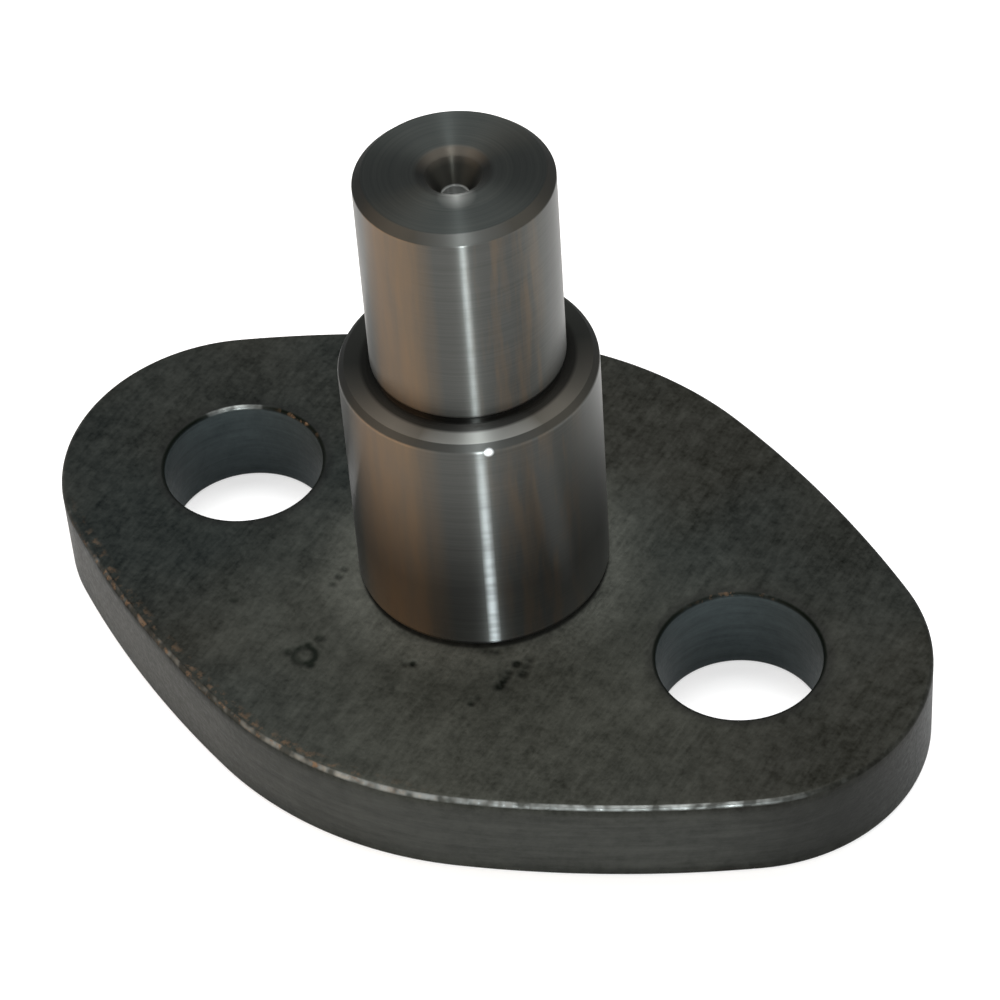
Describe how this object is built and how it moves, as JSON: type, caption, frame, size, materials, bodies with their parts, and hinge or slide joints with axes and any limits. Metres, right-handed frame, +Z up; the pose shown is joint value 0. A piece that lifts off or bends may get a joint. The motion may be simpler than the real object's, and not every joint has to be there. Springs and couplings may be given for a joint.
{
  "type": "locating pin",
  "caption": "Stepped locating pin upright on a flat rounded flange plate: bolts through the plate fix it, and a bored part drops over the pin and rests on its shoulder.",
  "frame": {"origin": "on the pin's axis, at the flange plate's underside", "axes": "+Z up along the pin, +X along the line through the bolt holes"},
  "size_m": [0.076, 0.05, 0.0485],
  "materials": {
    "plate_steel": "dark milled steel with straight tool marks and light rust",
    "pin_steel": "cylindrically ground steel"
  },
  "bodies": {
    "root": {"flange_plate": "plate_steel", "stepped_pin": "pin_steel"}
  },
  "joints": []
}
